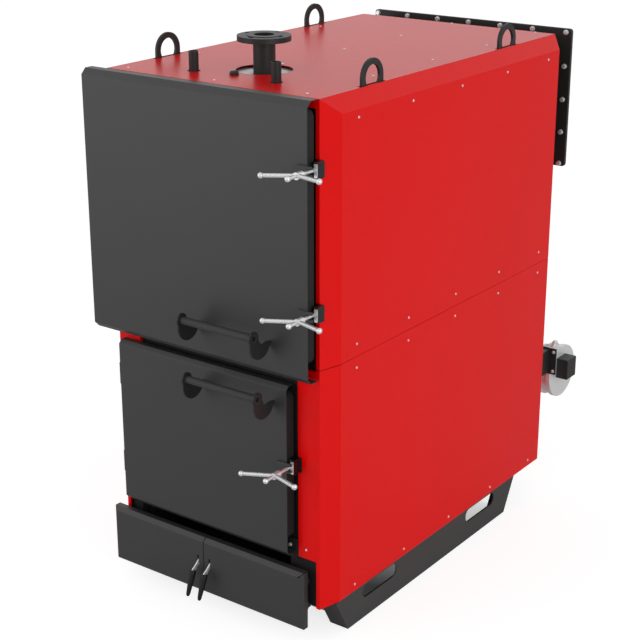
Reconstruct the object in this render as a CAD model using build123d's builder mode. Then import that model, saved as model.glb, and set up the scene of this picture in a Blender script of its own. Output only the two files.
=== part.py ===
from build123d import *
import os

os.makedirs("parts", exist_ok=True)

# Solid-fuel boiler with a red sheet casing and dark doors, standing on two skids.
# X runs to the right as seen from the front, Y to the rear, Z up from the floor.
# All sizes are in millimetres. Reaches are distances in front of the casing's front.

# Casing of folded sheet
casing_width = 945.0
casing_depth = 1545.0
casing_top = 1940.0
casing_bottom = 138.0
sheet = 2.0
strip_lean = 23.0
strip_depth = 90.0
strip_height = 59.0
casing_return = 15.0
rear_return = 40.0
top_lip = 30.0
seam_under_deck = 3.0
seam_gap = 2.0

# Clearances between pieces, and the reach of a cut that goes right through a sheet
slip = 0.3
play = 0.1
through = 8.0

# Skids
skid_width = 78.0
skid_sheet = 5.0
skid_front = 66.0
skid_length = 1275.0
skid_slope = 75.0
skid_window_length = 222.0
skid_window_bottom = 78.0
skid_window_corner = 26.0
skid_window_in = 276.5

# Boiler body inside the casing
insulation = 38.5
insulation_rear = 45.0
insulation_top = 40.0
body_front = 14.0
front_plate_thick = 30.0
jacket = 70.0
deck = 60.0
middle_deck_bottom = 1040.0
base_thick = 12.0
base_inset = 3.0
grate_bottom = 330.0
grate_thick = 30.0
grate_slot_inset = 93.0
grate_slot_width = 14.0
grate_slots = 12
smoke_port_inset = 84.0
smoke_port_drop = 30.0
smoke_port_height = 120.0
smoke_port_corner = 30.0

# Doorways in the body, by the width of plate left beside, below and above them
upper_way_side = 54.0
upper_way_sill = 40.0
upper_way_head = 50.0
lower_way_side = 134.0
lower_way_sill = 70.0
lower_way_head = 160.0
ash_way_side = 84.0
ash_way_head = 30.0

# Doors, by how far they lap over their doorways
door_shift = -36.0
upper_lap_side = 99.5
upper_lap_low = 120.0
upper_lap_high = 70.0
upper_face_reach = 58.0
upper_bevel = 20.0
lower_lap_side = 78.5
lower_lap_low = 82.0
lower_lap_high = 74.0
lower_face_reach = 43.0
lower_bevel = 14.0
cover_gap = 5.0
hanging_hole_x = -43.0
hanging_hole_back = 13.0
hanging_hole_radius = 4.0
upper_core_low = 48.0
upper_core_high = 8.0
upper_core_back = 20.0
lower_core_low = 44.0
lower_core_high = 14.0
core_edge = 2.0
core_hinge_side = 14.0
core_corner = 26.0
seal_margin = 15.0
front_panel_over_leaf = 26.0
front_panel_under_door = 8.0
front_panel_gap = 14.0
sill_gap = 8.0

# Door handles: hook-shaped plates with a tube between them
handle_tube_radius = 12.0
handle_tube_wall = 3.0
handle_plate = 6.0
handle_length = 308.0
handle_shift = 170.0
handle_disc_radius = 53.0
handle_lobe_radius = 19.0
handle_notch_radius = 26.0
handle_notch_out = 35.0
handle_notch_up = 20.0
handle_tube_out = 82.0
handle_tube_up = 29.0
upper_handle_up = 111.0
lower_handle_down = 42.0

# Door hinges
hinge_pin_radius = 6.0
hinge_eye_radius = 11.0
hinge_eye_height = 40.0
hinge_strap = 6.0
hinge_foot_inset = 1.5
upper_hinge_in = 22.0
upper_hinge_reach = 30.0
upper_hinge_up = 200.0
upper_hinge_down = 160.0
lower_hinge_out = 10.0
lower_hinge_reach = 20.0
lower_hinge_up = 132.0
lower_hinge_down = 124.0

# Door latches: a bolt with a cross pin, a nut with two arms, a fork on the door
# and a bracket on the casing
latch_out = 8.0
latch_pin_radius = 5.0
latch_pin_length = 44.0
latch_pin_reach = 25.0
latch_bolt_radius = 6.0
latch_tip_reach = 178.0
latch_nut_reach = 112.0
latch_nut_radius = 12.0
latch_nut_length = 30.0
latch_arm_root = 5.0
latch_arm_span = 112.0
latch_arm_lean = 42.0
latch_arm_drop = 7.0
latch_arm_radius = 7.0
latch_ball_radius = 10.0
bracket_height = 55.0
bracket_thick = 5.0
bracket_reach = 38.0
bracket_left = 3.0
bracket_right = 18.0
bracket_corner = 8.0
fork_thick = 8.0
fork_overlap = 40.0
fork_out = 22.0
fork_height = 36.0
fork_slot_play = 2.5
fork_corner = 6.0
upper_latch_down = 198.0
upper_latch_up = 224.0
lower_latch_up = 24.0

# Ash leaves and their levers
ash_lap_side = 94.5
ash_under_grate = 45.0
ash_face_reach = 50.0
ash_bevel = 14.0
ash_return = 22.0
ash_bottom = 60.0
ash_split = 3.0
ash_slot_out = 27.0
ash_slot_up = 112.0
ash_slot_height = 38.0
ash_slot_width = 8.0
ash_relief_radius = 3.0
ash_relief_slit = 2.0
ash_mitre = 45.0
ash_hinge_in = 8.0
ash_hinge_reach = 10.0
ash_hinge_up = 86.0
ash_hinge_down = 45.0
ash_pin_radius = 3.0
ash_eye_radius = 5.5
ash_eye_height = 16.0
ash_arm_width = 10.0
ash_arm_strap = 6.0
lever_thick = 4.0
lever_width = 9.0
lever_reach = 34.0
lever_up = 24.0
lever_pin_radius = 3.0
lever_eye_radius = 6.0
lever_cheek = 3.0
lever_cheek_radius = 7.0
lever_neck_reach = 81.0
lever_neck_drop = 41.0
lever_neck_width = 15.0
lever_tip_reach = 110.0
lever_tip_drop = 118.0
lever_grip_radius = 9.0
lever_tip_radius = 5.0

# Pipes with their flanges
pipe_radius = 38.05
pipe_bore = 35.0
flange_radius = 92.5
flange_thick = 18.0
flange_face_radius = 61.0
flange_face_height = 2.0
flange_bolt_circle = 145.0
flange_bolt_radius = 9.0
flange_bolts = 4
supply_x = 4.0
supply_back = 293.0
supply_rise = 119.0
supply_hole_gap = 5.5
return_in = 222.5
return_height = 330.0
return_reach = 110.0
socket_radius = 16.85
socket_bore = 14.0
socket_x = 176.0
socket_back = 136.0
socket_rise = 67.0
socket_hole_gap = 5.65
drain_beside = 190.0
drain_height = 210.0
drain_reach = 60.0
plug_x = -18.0
plug_back = 157.0
plug_radius = 15.8
plug_rise = 14.0
plug_round = 9.0

# Lifting lugs
lug_thick = 10.0
lug_width = 122.0
lug_foot = 100.0
lug_rise = 84.0
lug_eye_radius = 41.0
lug_middles = (300.0, 1181.0)
lug_slot_gap = 2.75
lug_slot_end = 13.0

# Smoke box on the rear
smoke_neck = 112.0
smoke_wall = 6.0
smoke_plate_side = 8.5
smoke_plate_over = 5.0
smoke_plate_height = 552.0
smoke_plate = 8.0
smoke_plate_corner = 12.0
smoke_margin = 55.0
smoke_hood_depth = 110.0
smoke_hood_flange = 6.0
smoke_hood_lean = 55.0
flue_radius = 150.0
flue_wall = 4.0
flue_length = 100.0

# Combustion air fan on the rear
fan_inset = 12.5
fan_thick = 64.0
fan_behind = 197.0
fan_height = 500.0
fan_radius = 124.0
fan_waist_radius = 110.0
fan_rim_left = 9.0
fan_rim_right = 20.0
fan_intake_radius = 50.0
fan_intake_depth = 25.0
neck_length = 88.0
neck_width = 58.0
neck_up = 2.0
neck_height = 105.0
neck_flange_width = 120.0
neck_flange_height = 115.0
neck_flange_thick = 8.0
motor_box_out = 52.0
motor_box_length = 80.0
motor_box_height = 88.0
motor_box_round = 4.0

# Sizes of the body, doors and leaves that follow from those above
body_width = casing_width - 2 * insulation
body_rear = casing_depth - insulation_rear
crown_top = casing_top - insulation_top
chamber_width = body_width - 2 * jacket
side_seam = middle_deck_bottom - seam_under_deck
skid_rear = skid_front + skid_length
base_top = casing_bottom + base_thick
deck_top = middle_deck_bottom + deck
grate_top = grate_bottom + grate_thick
grate_slot_pitch = chamber_width / (grate_slots + 1)
upper_way_width = body_width - 2 * upper_way_side
upper_way_bottom = deck_top + upper_way_sill
upper_way_top = crown_top - upper_way_head
lower_way_width = body_width - 2 * lower_way_side
lower_way_bottom = grate_top + lower_way_sill
lower_way_top = middle_deck_bottom - lower_way_head
ash_way_width = body_width - 2 * ash_way_side
ash_way_top = grate_bottom - ash_way_head
upper_cover_width = upper_way_width + 2 * upper_lap_side
upper_cover_bottom = upper_way_bottom - upper_lap_low
upper_cover_top = upper_way_top + upper_lap_high
lower_cover_width = lower_way_width + 2 * lower_lap_side
lower_cover_bottom = lower_way_bottom - lower_lap_low
lower_cover_top = lower_way_top + lower_lap_high
upper_core_bottom = upper_cover_bottom + upper_core_low
upper_core_top = upper_cover_top - upper_core_high
lower_core_bottom = lower_cover_bottom + lower_core_low
lower_core_top = lower_cover_top - lower_core_high
ash_width = ash_way_width + 2 * ash_lap_side
ash_top = grate_bottom - ash_under_grate
front_panel_bottom = ash_top + front_panel_over_leaf
front_panel_top = upper_core_bottom - front_panel_under_door

# The origin is on the floor under the middle of the whole plan.
side_x = casing_width / 2
left_reach = upper_cover_width / 2 - door_shift
right_reach = (
    upper_cover_width / 2 + door_shift + latch_out + latch_arm_span + latch_ball_radius
)
rear_reach = casing_depth + smoke_neck + smoke_plate + smoke_hood_depth + flue_length
mid_x = (left_reach - right_reach) / 2
front_y = latch_tip_reach - (latch_tip_reach + rear_reach) / 2
rear_y = front_y + casing_depth
door_x = mid_x + door_shift
lip_x = side_x - strip_lean
panel_half = lip_x - casing_return
return_x = mid_x - side_x + return_in
drain_x = return_x + drain_beside


def keep(piece, label):
    """Name a finished piece and write it out."""
    piece.part.label = label
    export_step(piece.part, f"parts/{label}.step")


def slab(label, left, right, front, back, bottom, top):
    """A plain plate or wall between two opposite corners."""
    with BuildPart() as piece:
        with BuildSketch(Plane.XY.offset(bottom)):
            with Locations(((left + right) / 2, (front + back) / 2)):
                Rectangle(right - left, back - front)
        extrude(amount=top - bottom)
    keep(piece, label)


# Skids: pressed steel channels, open towards the middle, with sloped ends and two windows.
for side, label in ((-1, "skid_left"), (1, "skid_right")):
    outer_x = mid_x + side * side_x
    inner_x = outer_x - side * skid_width
    start = front_y + skid_front
    end = front_y + skid_rear
    window_height = casing_bottom - skid_sheet - skid_window_bottom
    with BuildPart() as skid:
        with BuildSketch(Plane.YZ.offset(min(outer_x, inner_x))):
            with BuildLine():
                Polyline(
                    (start, casing_bottom),
                    (start + skid_slope, 0),
                    (end - skid_slope, 0),
                    (end, casing_bottom),
                    close=True,
                )
            make_face()
        extrude(amount=skid_width)
        ends = skid.faces().filter_by(Axis.X).sort_by(Axis.X)
        offset(amount=-skid_sheet, openings=ends[0] if side > 0 else ends[-1])
        with BuildSketch(Plane.YZ.offset(outer_x)):
            for middle in (start + skid_window_in, end - skid_window_in):
                with Locations((middle, skid_window_bottom + window_height / 2)):
                    RectangleRounded(skid_window_length, window_height, skid_window_corner)
        extrude(amount=skid_sheet, both=True, mode=Mode.SUBTRACT)
    keep(skid, label)

# Boiler body: water-filled walls round the loading chamber and the firing chamber.
body_left = mid_x - body_width / 2
body_right = mid_x + body_width / 2
wall_front = front_y + body_front + front_plate_thick
wall_rear = front_y + body_rear
chamber_rear = wall_rear - jacket
slab("base_plate", mid_x - lip_x + base_inset, mid_x + lip_x - base_inset,
     front_y + body_front, wall_rear, casing_bottom, base_top)
slab("left_water_wall", body_left, body_left + jacket, wall_front, wall_rear,
     base_top, crown_top)
slab("right_water_wall", body_right - jacket, body_right, wall_front, wall_rear,
     base_top, crown_top)
slab("crown", body_left + jacket, body_right - jacket, wall_front, chamber_rear,
     crown_top - deck, crown_top)
slab("middle_deck", body_left + jacket, body_right - jacket, wall_front, chamber_rear,
     middle_deck_bottom, deck_top)

# Rear water wall, with the port that lets the smoke out of the loading chamber.
with BuildPart() as rear_wall:
    with BuildSketch(Plane.XZ.offset(-chamber_rear)):
        with Locations((mid_x, (base_top + crown_top) / 2)):
            Rectangle(chamber_width, crown_top - base_top)
        with Locations((mid_x, crown_top - deck - smoke_port_drop - smoke_port_height / 2)):
            RectangleRounded(
                chamber_width - 2 * smoke_port_inset,
                smoke_port_height,
                smoke_port_corner,
                mode=Mode.SUBTRACT,
            )
    extrude(amount=-jacket)
keep(rear_wall, "rear_water_wall")

# Cast grate between the firing chamber and the ash pit.
with BuildPart() as grate:
    with BuildSketch(Plane.XY.offset(grate_bottom)):
        with Locations((mid_x, (wall_front + chamber_rear) / 2)):
            Rectangle(chamber_width, chamber_rear - wall_front)
            with GridLocations(grate_slot_pitch, grate_slot_pitch, grate_slots, 1):
                Rectangle(
                    grate_slot_width,
                    chamber_rear - wall_front - 2 * grate_slot_inset,
                    mode=Mode.SUBTRACT,
                )
    extrude(amount=grate_thick)
keep(grate, "fire_grate")

# Front plate of the body, with a doorway to each chamber and to the ash pit, and the sill
# that stands out under the lower door.
front_opening_left = door_x - lower_cover_width / 2 - front_panel_gap
front_opening_right = door_x + lower_cover_width / 2 + front_panel_gap
sill_top = lower_core_bottom - sill_gap
with BuildPart() as front_plate:
    with BuildSketch(Plane.XZ.offset(-(front_y + body_front))):
        with Locations((mid_x, (base_top + crown_top) / 2)):
            Rectangle(body_width, crown_top - base_top)
        for width, low, high in (
            (upper_way_width, upper_way_bottom, upper_way_top),
            (lower_way_width, lower_way_bottom, lower_way_top),
            (ash_way_width, base_top, ash_way_top),
        ):
            with Locations((door_x, (low + high) / 2)):
                Rectangle(width, high - low, mode=Mode.SUBTRACT)
    extrude(amount=-front_plate_thick)
    with BuildSketch(Plane.XZ.offset(-(front_y + body_front))):
        with Locations((door_x, (front_panel_bottom + sill_top) / 2)):
            Rectangle(
                front_opening_right - front_opening_left - 2 * slip,
                sill_top - front_panel_bottom,
            )
    extrude(amount=body_front)
keep(front_plate, "front_plate")


def side_panel(label, side, low, high, top_leans):
    """A folded side sheet with a front strip leaning inwards, and a top strip if wanted."""
    outer = mid_x + side * side_x
    inside = outer - side * sheet
    lip = mid_x + side * lip_x
    lip_inside = lip - side * sheet
    front_end = mid_x + side * panel_half
    rear_end = outer - side * rear_return
    bend_back = front_y + strip_depth
    bend_height = casing_top - strip_height
    with BuildPart() as panel:
        with BuildSketch(Plane.XY.offset(low)):
            with BuildLine():
                Polyline(
                    (front_end, front_y),
                    (lip, front_y),
                    (outer, bend_back),
                    (outer, rear_y),
                    (rear_end, rear_y),
                    (rear_end, rear_y - sheet),
                    (inside, rear_y - sheet),
                    (inside, bend_back),
                    (lip_inside, front_y + sheet),
                    (front_end, front_y + sheet),
                    close=True,
                )
            make_face()
        extrude(amount=high - low)
        if top_leans:
            with BuildSketch(Plane.XZ.offset(-front_y)):
                with BuildLine():
                    Polyline(
                        (outer, bend_height),
                        (lip, high),
                        (lip_inside, high),
                        (inside, bend_height),
                        close=True,
                    )
                make_face()
            extrude(amount=-casing_depth)
            with BuildSketch(Plane.XZ.offset(-front_y)):
                with BuildLine():
                    Polyline((outer, bend_height), (outer, high), (lip, high), close=True)
                make_face()
            extrude(amount=-casing_depth, mode=Mode.SUBTRACT)
            with BuildSketch(Plane.XY.offset(bend_height)):
                with BuildLine():
                    Polyline((lip, front_y), (outer, front_y), (outer, bend_back), close=True)
                make_face()
            extrude(amount=high - bend_height, mode=Mode.SUBTRACT)
    keep(panel, label)


for side, hand in ((-1, "left"), (1, "right")):
    side_panel(f"side_panel_{hand}_upper", side,
               side_seam + seam_gap / 2, casing_top - sheet, True)
    side_panel(f"side_panel_{hand}_lower", side,
               casing_bottom, side_seam - seam_gap / 2, False)

# Top panel with a lip at its front, holes for the pipes and slots for the lifting lugs.
lug_x = body_width / 2 + lug_thick / 2
with BuildPart() as top_panel:
    with BuildSketch(Plane.XY.offset(casing_top - sheet)):
        with Locations((mid_x, front_y + casing_depth / 2)):
            Rectangle(2 * lip_x, casing_depth)
        with Locations((mid_x + supply_x, front_y + supply_back)):
            Circle(flange_radius + supply_hole_gap, mode=Mode.SUBTRACT)
        with Locations(
            (mid_x - socket_x, front_y + socket_back),
            (mid_x + socket_x, front_y + socket_back),
        ):
            Circle(socket_radius + socket_hole_gap, mode=Mode.SUBTRACT)
        for middle in lug_middles:
            with Locations(
                (mid_x - lug_x, front_y + middle),
                (mid_x + lug_x, front_y + middle),
            ):
                Rectangle(
                    lug_thick + 2 * lug_slot_gap,
                    lug_width + 2 * lug_slot_end,
                    mode=Mode.SUBTRACT,
                )
    extrude(amount=sheet)
    with BuildSketch(Plane.XZ.offset(-front_y)):
        with Locations((mid_x, casing_top - sheet - top_lip / 2)):
            Rectangle(2 * (panel_half - slip), top_lip)
    extrude(amount=-sheet)
keep(top_panel, "top_panel")

# Front panel over and beside the lower door, open at its bottom.
front_opening_top = lower_core_top + front_panel_gap
with BuildPart() as front_panel:
    with BuildSketch(Plane.XZ.offset(-front_y)):
        with Locations((mid_x, (front_panel_bottom + front_panel_top) / 2)):
            Rectangle(2 * (panel_half - slip), front_panel_top - front_panel_bottom)
        with Locations((door_x, (front_panel_bottom + front_opening_top) / 2)):
            Rectangle(
                front_opening_right - front_opening_left,
                front_opening_top - front_panel_bottom,
                mode=Mode.SUBTRACT,
            )
    extrude(amount=-(body_front - slip))
keep(front_panel, "front_panel")

# Rear panel, lying inside the side panels' folded edges, with three openings.
smoke_plate_width = casing_width - 2 * smoke_plate_side
smoke_mid = casing_top + smoke_plate_over - smoke_plate_height / 2
duct_wide = smoke_plate_width - 2 * smoke_margin
duct_tall = smoke_plate_height - 2 * smoke_margin
rear_half = side_x - sheet - slip
rear_panel_top = casing_top - sheet - slip
with BuildPart() as rear_panel:
    with BuildSketch(Plane.XZ.offset(-(rear_y - 2 * sheet))):
        with BuildLine():
            Polyline(
                (mid_x - rear_half, casing_bottom),
                (mid_x + rear_half, casing_bottom),
                (mid_x + rear_half, rear_panel_top - strip_height),
                (mid_x + rear_half - strip_lean, rear_panel_top),
                (mid_x - rear_half + strip_lean, rear_panel_top),
                (mid_x - rear_half, rear_panel_top - strip_height),
                close=True,
            )
        make_face()
        with Locations((mid_x, smoke_mid)):
            Rectangle(duct_wide + 2 * sheet, duct_tall + 2 * sheet, mode=Mode.SUBTRACT)
        with Locations((return_x, return_height)):
            Circle(pipe_radius + sheet, mode=Mode.SUBTRACT)
        with Locations((drain_x, drain_height)):
            Circle(socket_radius + sheet, mode=Mode.SUBTRACT)
    extrude(amount=-sheet)
keep(rear_panel, "rear_panel")


def flanged_pipe(label, root, direction, length):
    """A steel pipe welded on at its root, with a round four-hole flange at its end."""
    flange_root = length - flange_face_height - flange_thick
    base = Plane(origin=root, x_dir=(1, 0, 0), z_dir=direction)
    with BuildPart() as pipe:
        with BuildSketch(base):
            Circle(pipe_radius)
        extrude(amount=length - flange_face_height)
        with BuildSketch(base.offset(flange_root)):
            Circle(flange_radius)
            with PolarLocations(flange_bolt_circle / 2, flange_bolts):
                Circle(flange_bolt_radius, mode=Mode.SUBTRACT)
        extrude(amount=flange_thick)
        with BuildSketch(base.offset(length - flange_face_height)):
            Circle(flange_face_radius)
        extrude(amount=flange_face_height)
        with BuildSketch(base):
            Circle(pipe_bore)
        extrude(amount=length, mode=Mode.SUBTRACT)
    keep(pipe, label)


flanged_pipe("supply_pipe", (mid_x + supply_x, front_y + supply_back, crown_top),
             (0, 0, 1), casing_top + supply_rise - crown_top)
flanged_pipe("return_pipe", (return_x, wall_rear, return_height),
             (0, 1, 0), rear_y + return_reach - wall_rear)

# Two safety sockets, one each side in front of the supply pipe, welded to the crown.
with BuildPart() as sockets:
    with BuildSketch(Plane.XY.offset(crown_top)):
        with Locations(
            (mid_x - socket_x, front_y + socket_back),
            (mid_x + socket_x, front_y + socket_back),
        ):
            Circle(socket_radius)
            Circle(socket_bore, mode=Mode.SUBTRACT)
    extrude(amount=casing_top + socket_rise - crown_top)
keep(sockets, "safety_sockets")

# Drain socket low on the rear.
with BuildPart() as drain:
    with BuildSketch(Plane.XZ.offset(-wall_rear)):
        with Locations((drain_x, drain_height)):
            Circle(socket_radius)
            Circle(socket_bore, mode=Mode.SUBTRACT)
    extrude(amount=-(rear_y + drain_reach - wall_rear))
keep(drain, "drain_socket")

# Domed plug of the sensor well, on the top panel.
with BuildPart() as plug:
    with BuildSketch(Plane.XY.offset(casing_top)):
        with Locations((mid_x + plug_x, front_y + plug_back)):
            Circle(plug_radius)
    extrude(amount=plug_rise)
    fillet(plug.edges().group_by(Axis.Z)[-1], radius=plug_round)
keep(plug, "sensor_plug")

# Four lifting lugs, welded to the outside of the water walls and rising through the top panel.
lug_eye_height = casing_top + lug_rise - lug_width / 2
lug_bottom = crown_top - lug_foot
with BuildPart() as lugs:
    for side in (-1, 1):
        with BuildSketch(Plane.YZ.offset(mid_x + side * lug_x - lug_thick / 2)):
            for middle in lug_middles:
                with Locations((front_y + middle, (lug_bottom + lug_eye_height) / 2)):
                    Rectangle(lug_width, lug_eye_height - lug_bottom)
                with Locations((front_y + middle, lug_eye_height)):
                    Circle(lug_width / 2)
                    Circle(lug_eye_radius, mode=Mode.SUBTRACT)
        extrude(amount=lug_thick)
keep(lugs, "lifting_lugs")

# Smoke box: a duct through the rear panel with a wide flange plate.
plate_y = rear_y + smoke_neck
with BuildPart() as smoke_duct:
    with BuildSketch(Plane.XZ.offset(-wall_rear)):
        with Locations((mid_x, smoke_mid)):
            Rectangle(duct_wide, duct_tall)
    extrude(amount=-(plate_y - wall_rear))
    with BuildSketch(Plane.XZ.offset(-plate_y)):
        with Locations((mid_x, smoke_mid)):
            RectangleRounded(smoke_plate_width, smoke_plate_height, smoke_plate_corner)
    extrude(amount=-smoke_plate)
    with BuildSketch(Plane.XZ.offset(-wall_rear)):
        with Locations((mid_x, smoke_mid)):
            Rectangle(duct_wide - 2 * smoke_wall, duct_tall - 2 * smoke_wall)
    extrude(amount=-(plate_y + smoke_plate - wall_rear), mode=Mode.SUBTRACT)
keep(smoke_duct, "smoke_box_flange")

# Smoke box hood with the flue spigot, and a flange of its own against the flange plate.
hood_front = plate_y + smoke_plate
hood_back = hood_front + smoke_hood_depth
with BuildPart() as hood:
    with BuildSketch(Plane.XZ.offset(-hood_front)):
        with Locations((mid_x, smoke_mid)):
            Rectangle(duct_wide, duct_tall)
    with BuildSketch(Plane.XZ.offset(-hood_back)):
        with Locations((mid_x, smoke_mid)):
            Rectangle(duct_wide - 2 * smoke_hood_lean, duct_tall - 2 * smoke_hood_lean)
    loft()
    offset(amount=-flue_wall, openings=hood.faces().sort_by(Axis.Y)[0])
    with BuildSketch(Plane.XZ.offset(-hood_front)):
        with Locations((mid_x, smoke_mid)):
            RectangleRounded(smoke_plate_width, smoke_plate_height, smoke_plate_corner)
            Rectangle(
                duct_wide - 2 * smoke_wall,
                duct_tall - 2 * smoke_wall,
                mode=Mode.SUBTRACT,
            )
    extrude(amount=-smoke_hood_flange)
    with BuildSketch(Plane.XZ.offset(-(hood_back - flue_wall))):
        with Locations((mid_x, smoke_mid)):
            Circle(flue_radius)
    extrude(amount=-(flue_length + flue_wall))
    with BuildSketch(Plane.XZ.offset(-(hood_back - 2 * flue_wall))):
        with Locations((mid_x, smoke_mid)):
            Circle(flue_radius - flue_wall)
    extrude(amount=-(flue_length + 2 * flue_wall), mode=Mode.SUBTRACT)
keep(hood, "smoke_box_hood")

# Fan: a neck on the rear panel with a square flange, the round volute and the motor box.
fan_right = mid_x + side_x - fan_inset
fan_left = fan_right - fan_thick
fan_y = rear_y + fan_behind
fan_mid = (fan_left + fan_right) / 2
neck_mid = fan_height + neck_up + neck_height / 2
neck_end = rear_y + neck_length
outlet_y = neck_end + neck_flange_thick
with BuildPart() as fan_neck:
    with BuildSketch(Plane.XZ.offset(-rear_y)):
        with Locations((fan_mid, neck_mid)):
            Rectangle(neck_width, neck_height)
    extrude(amount=-neck_length)
    with BuildSketch(Plane.XZ.offset(-neck_end)):
        with Locations((fan_mid, neck_mid)):
            Rectangle(neck_flange_width, neck_flange_height)
    extrude(amount=-neck_flange_thick)
keep(fan_neck, "fan_neck")

# The volute has a wide rim on its right half and a narrow one on its left, with a waist
# between them. Its outlet butts against the neck's flange, and it draws in air on the left.
with BuildPart() as volute:
    for left, right, radius in (
        (fan_left, fan_left + fan_rim_left, fan_radius),
        (fan_left + fan_rim_left, fan_right - fan_rim_right, fan_waist_radius),
        (fan_right - fan_rim_right, fan_right, fan_radius),
    ):
        with BuildSketch(Plane.YZ.offset(left)):
            with Locations((fan_y, fan_height)):
                Circle(radius)
            with Locations(((outlet_y + fan_y) / 2, neck_mid)):
                Rectangle(fan_y - outlet_y, neck_height)
            with Locations((outlet_y - fan_radius / 2, neck_mid)):
                Rectangle(
                    fan_radius,
                    neck_flange_height + 2 * slip,
                    mode=Mode.SUBTRACT,
                )
        extrude(amount=right - left)
    with BuildSketch(Plane.YZ.offset(fan_left)):
        with Locations((fan_y, fan_height)):
            Circle(fan_intake_radius)
    extrude(amount=fan_intake_depth, mode=Mode.SUBTRACT)
keep(volute, "fan_volute")

with BuildPart() as motor_box:
    with BuildSketch(Plane.YZ.offset(fan_right)):
        with Locations((fan_y, fan_height)):
            RectangleRounded(motor_box_length, motor_box_height, motor_box_round)
    extrude(amount=motor_box_out)
    fillet(motor_box.edges().group_by(Axis.X)[-1], radius=motor_box_round)
keep(motor_box, "fan_motor_box")


def door_cover(label, width, low, high, reach, bevel, latch_x, latch_heights, hangs):
    """A folded door cover with sloped edges, and the forks that take the latch bolts."""
    face = front_y - reach
    edge = door_x + width / 2
    with BuildPart() as cover:
        with BuildSketch(Plane.YZ.offset(door_x - width / 2)):
            with BuildLine():
                fold = Polyline(
                    (front_y - cover_gap, high + bevel),
                    (face + bevel, high + bevel),
                    (face, high),
                    (face, low),
                    (face + bevel, low - bevel),
                    (front_y - cover_gap, low - bevel),
                )
                offset(fold, amount=-sheet, side=Side.LEFT, closed=True)
            make_face()
        extrude(amount=width)
        if hangs:
            with BuildSketch(Plane.XY.offset(high + bevel - through / 2)):
                with Locations((mid_x + hanging_hole_x, front_y - hanging_hole_back)):
                    Circle(hanging_hole_radius)
            extrude(amount=through, mode=Mode.SUBTRACT)
        with BuildSketch(Plane.XZ.offset(-face)):
            for height in latch_heights:
                with Locations((edge + (fork_out - fork_overlap) / 2, height)):
                    RectangleRounded(fork_out + fork_overlap, fork_height, fork_corner)
                with Locations((latch_x, height)):
                    Circle(latch_bolt_radius + fork_slot_play, mode=Mode.SUBTRACT)
                with Locations((latch_x + fork_out / 2, height)):
                    Rectangle(
                        fork_out,
                        2 * (latch_bolt_radius + fork_slot_play),
                        mode=Mode.SUBTRACT,
                    )
        extrude(amount=fork_thick)
    keep(cover, label)


def door_core(label, left, right, low, high, front, back, hinge, heights, way):
    """The insulated steel body of a door, with its sealing block and hinge eyes."""
    hinge_x, hinge_y = hinge
    way_width, way_low, way_high = way
    strap_right = left + sheet
    strap_mid = hinge_y - hinge_eye_radius + hinge_strap / 2
    with BuildPart() as core:
        with BuildSketch(Plane.XZ.offset(-front)):
            with Locations(((left + right) / 2, (low + high) / 2)):
                RectangleRounded(right - left, high - low, core_corner)
        extrude(amount=-(back - front))
        with BuildSketch(Plane.XZ.offset(-back)):
            with Locations((door_x, (way_low + way_high) / 2)):
                RectangleRounded(
                    way_width + 2 * seal_margin,
                    way_high - way_low + 2 * seal_margin,
                    core_corner,
                )
        extrude(amount=-(front_y + body_front - slip - back))
        for height in heights:
            with BuildSketch(Plane.XY.offset(height)):
                with Locations((hinge_x, hinge_y)):
                    Circle(hinge_eye_radius)
                with Locations(((hinge_x + strap_right) / 2, strap_mid)):
                    Rectangle(strap_right - hinge_x, hinge_strap)
                with Locations((hinge_x, hinge_y)):
                    Circle(hinge_pin_radius + play, mode=Mode.SUBTRACT)
            extrude(amount=hinge_eye_height)
    keep(core, label)


def hinge_halves(label, hinge, heights, foot_right, foot_back):
    """The fixed halves of a door's hinges: an eye with its pin on a bent strap."""
    hinge_x, hinge_y = hinge
    with BuildPart() as halves:
        for height in heights:
            with BuildSketch(Plane.XY.offset(height - slip - hinge_eye_height)):
                with Locations((hinge_x, hinge_y)):
                    Circle(hinge_eye_radius)
                with Locations((hinge_x, (hinge_y + foot_back) / 2)):
                    Rectangle(hinge_strap, foot_back - hinge_y)
                with Locations(((hinge_x + foot_right) / 2, foot_back - hinge_strap / 2)):
                    Rectangle(foot_right - hinge_x, hinge_strap)
            extrude(amount=hinge_eye_height)
            with BuildSketch(Plane.XY.offset(height - slip)):
                with Locations((hinge_x, hinge_y)):
                    Circle(hinge_pin_radius)
            extrude(amount=hinge_eye_height + slip)
    keep(halves, label)


def handle(label, reach, height):
    """A round tube between two hook-shaped plates welded to the door's face."""
    face = front_y - reach
    left = door_x + handle_shift - handle_length / 2
    with BuildPart() as grip:
        for x in (left, left + handle_length):
            with BuildSketch(Plane.YZ.offset(x - handle_plate / 2)):
                with Locations((face - handle_disc_radius, height)):
                    Circle(handle_disc_radius)
                with Locations((face - handle_tube_out, height + handle_tube_up)):
                    Circle(handle_lobe_radius)
                with Locations((face - handle_notch_out, height + handle_notch_up)):
                    Circle(handle_notch_radius, mode=Mode.SUBTRACT)
                with Locations((
                    face - handle_notch_out,
                    height + handle_notch_up + handle_disc_radius / 2,
                )):
                    Rectangle(
                        2 * handle_notch_radius,
                        handle_disc_radius,
                        mode=Mode.SUBTRACT,
                    )
            extrude(amount=handle_plate)
        with BuildSketch(Plane.YZ.offset(left)):
            with Locations((face - handle_tube_out, height + handle_tube_up)):
                Circle(handle_tube_radius)
        extrude(amount=handle_length)
        with BuildSketch(Plane.YZ.offset(left - handle_plate)):
            with Locations((face - handle_tube_out, height + handle_tube_up)):
                Circle(handle_tube_radius - handle_tube_wall)
        extrude(amount=handle_length + 2 * handle_plate, mode=Mode.SUBTRACT)
    keep(grip, label)


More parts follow.
